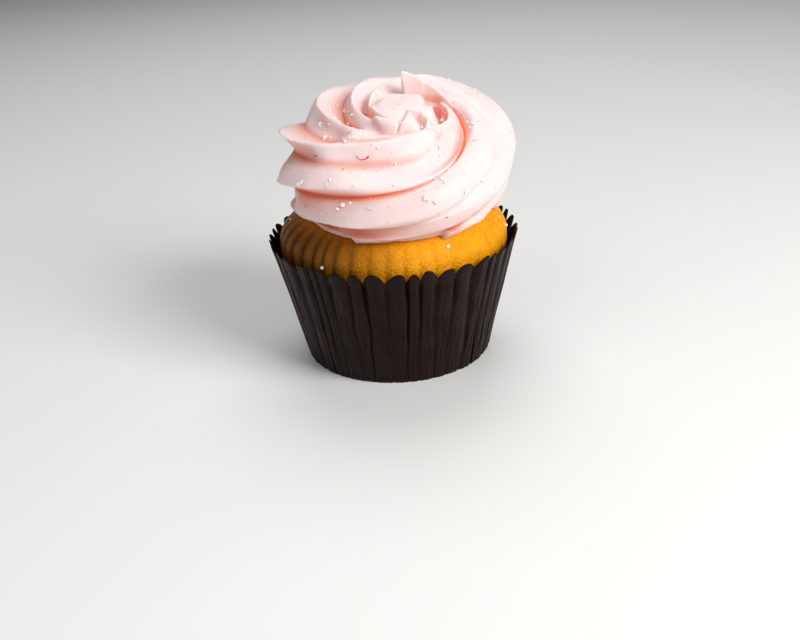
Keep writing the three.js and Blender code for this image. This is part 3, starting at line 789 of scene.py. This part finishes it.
def scatter(name, kind, spots, host, draw, stretch, sunk, wobble=0.0):
    """Copies of one small solid, joined in one piece and sunk into what they lie on. stretch is
    how long they are along, across and through the surface, as shares of a size."""
    corners, faces = make_grain(kind)
    tree = tree_of(host)
    all_corners = []
    all_faces = []
    for x, y, z, size in spots:
        near, normal = tree.find_nearest(Vector((x, y, z)) * MM)[:2]
        place = near / MM
        side = normal.orthogonal().normalized()
        other = normal.cross(side)
        spin = draw.uniform(0, 2 * math.pi)
        along_way = side * math.cos(spin) + other * math.sin(spin)
        across_way = normal.cross(along_way)
        frame_of_it = np.array([along_way, across_way, normal])
        shaped = corners * (1 + wobble * draw.uniform(-1, 1, corners.shape)) * stretch * size
        if kind == "sugar":
            tip = Matrix.Rotation(draw.uniform(0, 1.2), 3, Vector(draw.normal(size=3)).normalized())
            shaped = shaped @ np.array(tip)
        placed = shaped @ frame_of_it + np.array(place + normal * size * stretch[2] * (0.5 - sunk))
        first = len(all_corners) * len(corners)
        all_corners.append(placed)
        all_faces += [[first + i for i in face] for face in faces]
    mesh = bpy.data.meshes.new(name)
    mesh.from_pydata((np.concatenate(all_corners) * MM).tolist(), [], all_faces)
    piece = bpy.data.objects.new(name, mesh)
    bpy.context.collection.objects.link(piece)
    return piece


def make_berry_thread(host):
    """A thread of strawberry, laid on the frosting as a row of short, joined rings."""
    sides = 6
    rings = 21
    ring_gap = 0.1
    lift = 0.06
    tree = tree_of(host)
    steps = np.linspace(0, len(BERRY_THREAD) - 1, rings)
    path = np.stack([along([point[i] for point in BERRY_THREAD], steps) for i in range(3)], -1)
    deselect()
    bpy.ops.mesh.primitive_circle_add(vertices=sides, radius=ring_gap * MM, fill_type="NGON")
    thread = start_piece("strawberry_thread")
    bpy.ops.object.mode_set(mode="EDIT")
    bpy.ops.mesh.select_all(action="SELECT")
    for _ in range(1, rings):
        bpy.ops.mesh.extrude_region_move(TRANSFORM_OT_translate={"value": (0, 0, ring_gap * MM)})
    bpy.ops.object.mode_set(mode="OBJECT")
    places = vertex_places(thread) / MM
    ring = np.rint(places[:, 2] / ring_gap).astype(int)
    around_it = np.arctan2(places[:, 1], places[:, 0])
    for i in range(rings):
        place, normal = tree.find_nearest(Vector(path[i]) * MM)[:2]
        ahead = Vector(path[min(i + 1, rings - 1)] - path[max(i - 1, 0)]).normalized()
        across = normal.cross(ahead).normalized()
        thick = 0.05 + 0.06 * smoothstep(i, 0, 12) + 0.03 * (i % 3)
        here = ring == i
        turned = np.outer(np.cos(around_it[here]), across)
        turned += np.outer(np.sin(around_it[here]), normal)
        places[here] = np.array(place / MM + normal * lift) + turned * thick
    move_vertices(thread, places * MM)
    turn_faces_out(thread)
    bpy.ops.object.shade_smooth()
    return thread


# --------------------------------------------------------------------------- materials


def new_material(name):
    material = bpy.data.materials.new(name)
    material.use_nodes = True
    nodes = material.node_tree.nodes
    return material, nodes, material.node_tree.links, nodes["Principled BSDF"]


def paint(obj, material):
    obj.data.materials.clear()
    obj.data.materials.append(material)


def new_group(name, inputs, outputs):
    """An empty shader group. inputs and outputs map a socket's name to its type and value."""
    group = bpy.data.node_groups.new(name, "ShaderNodeTree")
    for direction, sockets in (("INPUT", inputs), ("OUTPUT", outputs)):
        for label, (kind, value) in sockets.items():
            socket = group.interface.new_socket(label, in_out=direction, socket_type=kind)
            if value is not None:
                socket.default_value = value
    start = group.nodes.new("NodeGroupInput")
    end = group.nodes.new("NodeGroupOutput")
    return group, group.nodes, group.links, start, end


def mottle_group():
    """Two colours mixed in soft blotches, and a fine grain for the surface's height."""
    colour, number = "NodeSocketColor", "NodeSocketFloat"
    group, nodes, links, start, end = new_group(
        "mottled_surface",
        {"Light": (colour, (0.8, 0.8, 0.8, 1)), "Dark": (colour, (0.6, 0.6, 0.6, 1)),
         "Blotch Scale": (number, 100.0), "Grain Scale": (number, 1000.0),
         "Grain Share": (number, 0.3)},
        {"Color": (colour, None), "Height": (number, None)})
    place = nodes.new("ShaderNodeTexCoord")
    blotch = nodes.new("ShaderNodeTexNoise")
    blotch.inputs["Detail"].default_value = 4
    grain = nodes.new("ShaderNodeTexNoise")
    grain.inputs["Detail"].default_value = 4
    for texture, scale in ((blotch, "Blotch Scale"), (grain, "Grain Scale")):
        links.new(place.outputs["Object"], texture.inputs["Vector"])
        links.new(start.outputs[scale], texture.inputs["Scale"])
    mixed = nodes.new("ShaderNodeMix")
    mixed.data_type = "FLOAT"
    links.new(start.outputs["Grain Share"], mixed.inputs["Factor"])
    links.new(blotch.outputs["Fac"], mixed.inputs["A"])
    links.new(grain.outputs["Fac"], mixed.inputs["B"])
    spread = nodes.new("ShaderNodeMapRange")
    spread.inputs["From Min"].default_value = 0.36
    spread.inputs["From Max"].default_value = 0.64
    links.new(mixed.outputs["Result"], spread.inputs["Value"])
    tint = nodes.new("ShaderNodeMix")
    tint.data_type = "RGBA"
    links.new(spread.outputs["Result"], tint.inputs["Factor"])
    links.new(start.outputs["Dark"], tint.inputs["A"])
    links.new(start.outputs["Light"], tint.inputs["B"])
    links.new(tint.outputs["Result"], end.inputs["Color"])
    links.new(grain.outputs["Fac"], end.inputs["Height"])
    return group


def add_mottle(nodes, group, light, dark, blotch_scale, grain_scale, grain_share):
    node = nodes.new("ShaderNodeGroup")
    node.node_tree = group
    node.inputs["Light"].default_value = (*light, 1)
    node.inputs["Dark"].default_value = (*dark, 1)
    node.inputs["Blotch Scale"].default_value = blotch_scale
    node.inputs["Grain Scale"].default_value = grain_scale
    node.inputs["Grain Share"].default_value = grain_share
    return node


def add_bump(nodes, links, height, shader, strength, distance):
    bump = nodes.new("ShaderNodeBump")
    bump.inputs["Strength"].default_value = strength
    bump.inputs["Distance"].default_value = distance
    links.new(height, bump.inputs["Height"])
    links.new(bump.outputs["Normal"], shader.inputs["Normal"])


def speck_group():
    """How far each place is inside a faint round speck, from 0 to 1. One speck lies in each cell,
    and the specks differ in size."""
    number = "NodeSocketFloat"
    group, nodes, links, start, end = new_group(
        "berry_specks", {"Scale": (number, 300.0), "Size": (number, 0.2)},
        {"Share": (number, None)})
    place = nodes.new("ShaderNodeTexCoord")
    cells = nodes.new("ShaderNodeTexVoronoi")
    links.new(place.outputs["Object"], cells.inputs["Vector"])
    links.new(start.outputs["Scale"], cells.inputs["Scale"])
    shade = nodes.new("ShaderNodeSeparateColor")
    links.new(cells.outputs["Color"], shade.inputs["Color"])
    size = nodes.new("ShaderNodeMath")
    size.operation = "MULTIPLY"
    links.new(shade.outputs["Red"], size.inputs[0])
    links.new(start.outputs["Size"], size.inputs[1])
    spread = nodes.new("ShaderNodeMapRange")
    spread.interpolation_type = "SMOOTHSTEP"
    spread.inputs["From Min"].default_value = 0
    spread.inputs["To Min"].default_value = 1
    spread.inputs["To Max"].default_value = 0
    links.new(cells.outputs["Distance"], spread.inputs["Value"])
    links.new(size.outputs["Value"], spread.inputs["From Max"])
    links.new(spread.outputs["Result"], end.inputs["Share"])
    return group


def frosting_material(mottle):
    material, nodes, links, shader = new_material("strawberry_buttercream")
    shader.inputs["Roughness"].default_value = 0.42
    shader.inputs["Specular IOR Level"].default_value = 0.35
    shader.inputs["Subsurface Weight"].default_value = 1.0
    shader.inputs["Subsurface Radius"].default_value = (1.0, 0.7, 0.6)
    shader.inputs["Subsurface Scale"].default_value = 0.002
    surface = add_mottle(nodes, mottle, (0.92, 0.75, 0.75), (0.895, 0.695, 0.69), 110, 700, 0.2)
    # Painted shade: the frosting's colour is multiplied towards salmon in its hollows and on faces
    # turned from the window light.
    hollow = nodes.new("ShaderNodeAttribute")
    hollow.attribute_name = "painted_hollow_shade"
    glow = nodes.new("ShaderNodeValToRGB")
    stops = glow.color_ramp.elements
    stops[0].position, stops[0].color = 0.12, (1, 1, 1, 1)
    stops[1].position, stops[1].color = 0.8, (0.93, 0.3, 0.16, 1)
    middle = stops.new(0.42)
    middle.color = (0.96, 0.67, 0.6, 1)
    links.new(hollow.outputs["Fac"], glow.inputs["Fac"])
    salmon = nodes.new("ShaderNodeMix")
    salmon.data_type = "RGBA"
    salmon.blend_type = "MULTIPLY"
    salmon.inputs["Factor"].default_value = 1.0
    specks = nodes.new("ShaderNodeGroup")
    specks.node_tree = speck_group()
    specks.inputs["Scale"].default_value = 330
    specks.inputs["Size"].default_value = 0.28
    speckled = nodes.new("ShaderNodeMix")
    speckled.data_type = "RGBA"
    speckled.inputs["B"].default_value = (0.84, 0.52, 0.5, 1)
    links.new(specks.outputs["Share"], speckled.inputs["Factor"])
    links.new(surface.outputs["Color"], speckled.inputs["A"])
    links.new(speckled.outputs["Result"], salmon.inputs["A"])
    links.new(glow.outputs["Color"], salmon.inputs["B"])
    links.new(salmon.outputs["Result"], shader.inputs["Base Color"])
    # Painted glow: the frosting's narrow slits give off orange light of their own.
    lit = nodes.new("ShaderNodeAttribute")
    lit.attribute_name = "painted_slit_glow"
    through = nodes.new("ShaderNodeMix")
    through.data_type = "RGBA"
    through.inputs["A"].default_value = (0, 0, 0, 1)
    through.inputs["B"].default_value = (1.0, 0.22, 0.06, 1)
    links.new(lit.outputs["Fac"], through.inputs["Factor"])
    links.new(through.outputs["Result"], shader.inputs["Emission Color"])
    shader.inputs["Emission Strength"].default_value = 0.55
    add_bump(nodes, links, surface.outputs["Height"], shader, 0.12, 0.0003)
    return material


def sponge_material(mottle):
    material, nodes, links, shader = new_material("golden_sponge")
    shader.inputs["Roughness"].default_value = 0.38
    shader.inputs["Specular IOR Level"].default_value = 0.16
    shader.inputs["Subsurface Weight"].default_value = 0.2
    shader.inputs["Subsurface Radius"].default_value = (1.0, 0.4, 0.1)
    shader.inputs["Subsurface Scale"].default_value = 0.001
    surface = add_mottle(nodes, mottle, (1.0, 0.43, 0.003), (0.78, 0.27, 0.0015), 260, 1900, 0.65)
    # Painted shade: the sponge's colour is multiplied nearly to black on its shaded left side.
    painted_sponge_shade = nodes.new("ShaderNodeAttribute")
    painted_sponge_shade.attribute_name = "painted_sponge_shade"
    sponge_shade = nodes.new("ShaderNodeMix")
    sponge_shade.data_type = "RGBA"
    sponge_shade.blend_type = "MULTIPLY"
    sponge_shade.inputs["B"].default_value = (0.07, 0.035, 0.03, 1)
    links.new(painted_sponge_shade.outputs["Fac"], sponge_shade.inputs["Factor"])
    links.new(surface.outputs["Color"], sponge_shade.inputs["A"])
    links.new(sponge_shade.outputs["Result"], shader.inputs["Base Color"])
    add_bump(nodes, links, surface.outputs["Height"], shader, 0.8, 0.0005)
    return material


def paper_material(mottle):
    """Dark paper whose sheen breaks along fine upright lines."""
    material, nodes, links, shader = new_material("dark_brown_paper")
    shader.inputs["Roughness"].default_value = 0.42
    shader.inputs["Specular IOR Level"].default_value = 0.11
    surface = add_mottle(nodes, mottle, (0.019, 0.0066, 0.0045), (0.006, 0.0024, 0.0017),
                         160, 1500, 0.4)
    links.new(surface.outputs["Color"], shader.inputs["Base Color"])
    place = nodes.new("ShaderNodeTexCoord")
    upright = nodes.new("ShaderNodeMapping")
    upright.inputs["Scale"].default_value = (1, 1, 0.07)
    lines = nodes.new("ShaderNodeTexNoise")
    lines.inputs["Scale"].default_value = 900
    lines.inputs["Detail"].default_value = 3
    links.new(place.outputs["Object"], upright.inputs["Vector"])
    links.new(upright.outputs["Vector"], lines.inputs["Vector"])
    add_bump(nodes, links, lines.outputs["Fac"], shader, 0.55, 0.0004)
    return material


def sugar_material(mottle):
    material, nodes, links, shader = new_material("sugar")
    shader.inputs["Roughness"].default_value = 0.14
    shader.inputs["IOR"].default_value = 1.54
    shader.inputs["Subsurface Weight"].default_value = 0.7
    shader.inputs["Subsurface Radius"].default_value = (1, 0.9, 0.85)
    shader.inputs["Subsurface Scale"].default_value = 0.0006
    surface = add_mottle(nodes, mottle, (1.0, 0.93, 0.92), (0.93, 0.78, 0.76), 900, 3000, 0.3)
    links.new(surface.outputs["Color"], shader.inputs["Base Color"])
    return material


def fruit_material(mottle, name, light, dark):
    material, nodes, links, shader = new_material(name)
    shader.inputs["Roughness"].default_value = 0.35
    surface = add_mottle(nodes, mottle, light, dark, 700, 2500, 0.4)
    links.new(surface.outputs["Color"], shader.inputs["Base Color"])
    add_bump(nodes, links, surface.outputs["Height"], shader, 0.2, 0.0001)
    return material


def floor_material():
    material, _, _, shader = new_material("pale_table")
    shader.inputs["Base Color"].default_value = (0.84, 0.84, 0.83, 1)
    shader.inputs["Roughness"].default_value = 0.6
    return material


# ------------------------------------------------------------------------------ stage


def make_floor():
    deselect()
    bpy.ops.mesh.primitive_plane_add(size=4)
    floor = start_piece("table_top")
    paint(floor, floor_material())


def make_light(name, place, size, energy, colour):
    """A square lamp that looks at the middle of the cupcake."""
    light = bpy.data.lights.new(name, "AREA")
    light.size = size
    light.energy = energy
    light.color = colour
    obj = bpy.data.objects.new(name, light)
    bpy.context.collection.objects.link(obj)
    obj.location = place
    aim = Vector((0, 0, 0.04))
    obj.rotation_euler = (aim - Vector(place)).to_track_quat("-Z", "Y").to_euler()


def make_camera():
    pitch = 0.4407788
    roll = -0.0550587
    distance = 0.293990268
    aim = Vector((0.0005079, 0, 0.0064137))
    ahead = Vector((0, math.cos(pitch), -math.sin(pitch)))
    right = Vector((1, 0, 0))
    up = right.cross(ahead)
    tilted_right = math.cos(roll) * right + math.sin(roll) * up
    tilted_up = math.cos(roll) * up - math.sin(roll) * right
    camera = bpy.data.cameras.new("camera")
    camera.sensor_width = 36
    camera.lens = 45
    camera.clip_start = 0.01
    obj = bpy.data.objects.new("camera", camera)
    bpy.context.collection.objects.link(obj)
    turn = Matrix((tilted_right, tilted_up, -ahead)).transposed()
    obj.matrix_world = Matrix.Translation(aim - ahead * distance) @ turn.to_4x4()
    bpy.context.scene.camera = obj


def make_studio():
    make_light("window_light", (0.42, -0.34, 0.40), 0.35, 4.2, (1, 0.985, 0.96))
    make_light("ceiling_light", (0.0, 0.45, 0.75), 0.6, 3.05, (1, 1, 1))
    make_light("fill_light", (-0.34, -0.3, 0.42), 0.5, 0.85, (1, 1, 1))
    world = bpy.data.worlds.new("room")
    bpy.context.scene.world = world
    world.use_nodes = True
    backdrop = world.node_tree.nodes["Background"]
    backdrop.inputs["Color"].default_value = (0.92, 0.94, 0.95, 1)
    backdrop.inputs["Strength"].default_value = 0.12
    bpy.context.scene.view_settings.view_transform = "Standard"


# --------------------------------------------------------------------------- assembly


def add_trim(piece, material):
    """Dress and hand over a small piece that stands in for no node."""
    paint(piece, material)
    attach(piece, "root")


mottle = mottle_group()

case = make_paper_case()
paint(case, paper_material(mottle))
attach(case, "root")
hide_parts("paper_case")

sponge = make_sponge()
paint(sponge, sponge_material(mottle))
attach(sponge, "root")
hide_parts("sponge")

frosting = make_frosting()
paint(frosting, frosting_material(mottle))
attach(frosting, "root")
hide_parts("frosting")

draw = np.random.default_rng(TOPPING_SEED)

sugar = sugar_material(mottle)
crystal = (1, 0.85, 0.8)
spots = BIG_CRYSTALS + beside(BIG_CRYSTALS, draw)
spots += open_spots(frosting, draw, LOWEST_ON_FROSTING, 150, (0.25, 0.8))
crystals = scatter("sugar_on_frosting", "sugar", spots, frosting, draw, crystal, 0.35)
add_trim(crystals, sugar)
spots = SPONGE_CRYSTALS + open_spots(sponge, draw, LOWEST_ON_SPONGE, 8, (0.4, 0.7))
crystals = scatter("sugar_on_sponge", "sugar", spots, sponge, draw, crystal, 0.25)
add_trim(crystals, sugar)

berry = fruit_material(mottle, "strawberry_flesh", (0.8, 0.1, 0.09), (0.6, 0.035, 0.04))
spots = BIG_FLECKS + open_spots(frosting, draw, LOWEST_ON_FROSTING, 60, (0.2, 0.5))
bits = scatter("strawberry_bits", "lump", spots, frosting, draw, (1, 0.55, 0.3), 0.7, 0.35)
add_trim(bits, berry)
add_trim(make_berry_thread(frosting), berry)

seed = fruit_material(mottle, "strawberry_seed", (0.2, 0.07, 0.05), (0.09, 0.03, 0.03))
spots = open_spots(frosting, draw, LOWEST_ON_FROSTING, 110, (0.2, 0.42))
seeds = scatter("strawberry_seeds", "lump", spots, frosting, draw, (1, 0.45, 0.35), 0.6, 0.2)
add_trim(seeds, seed)

make_floor()
make_studio()
make_camera()
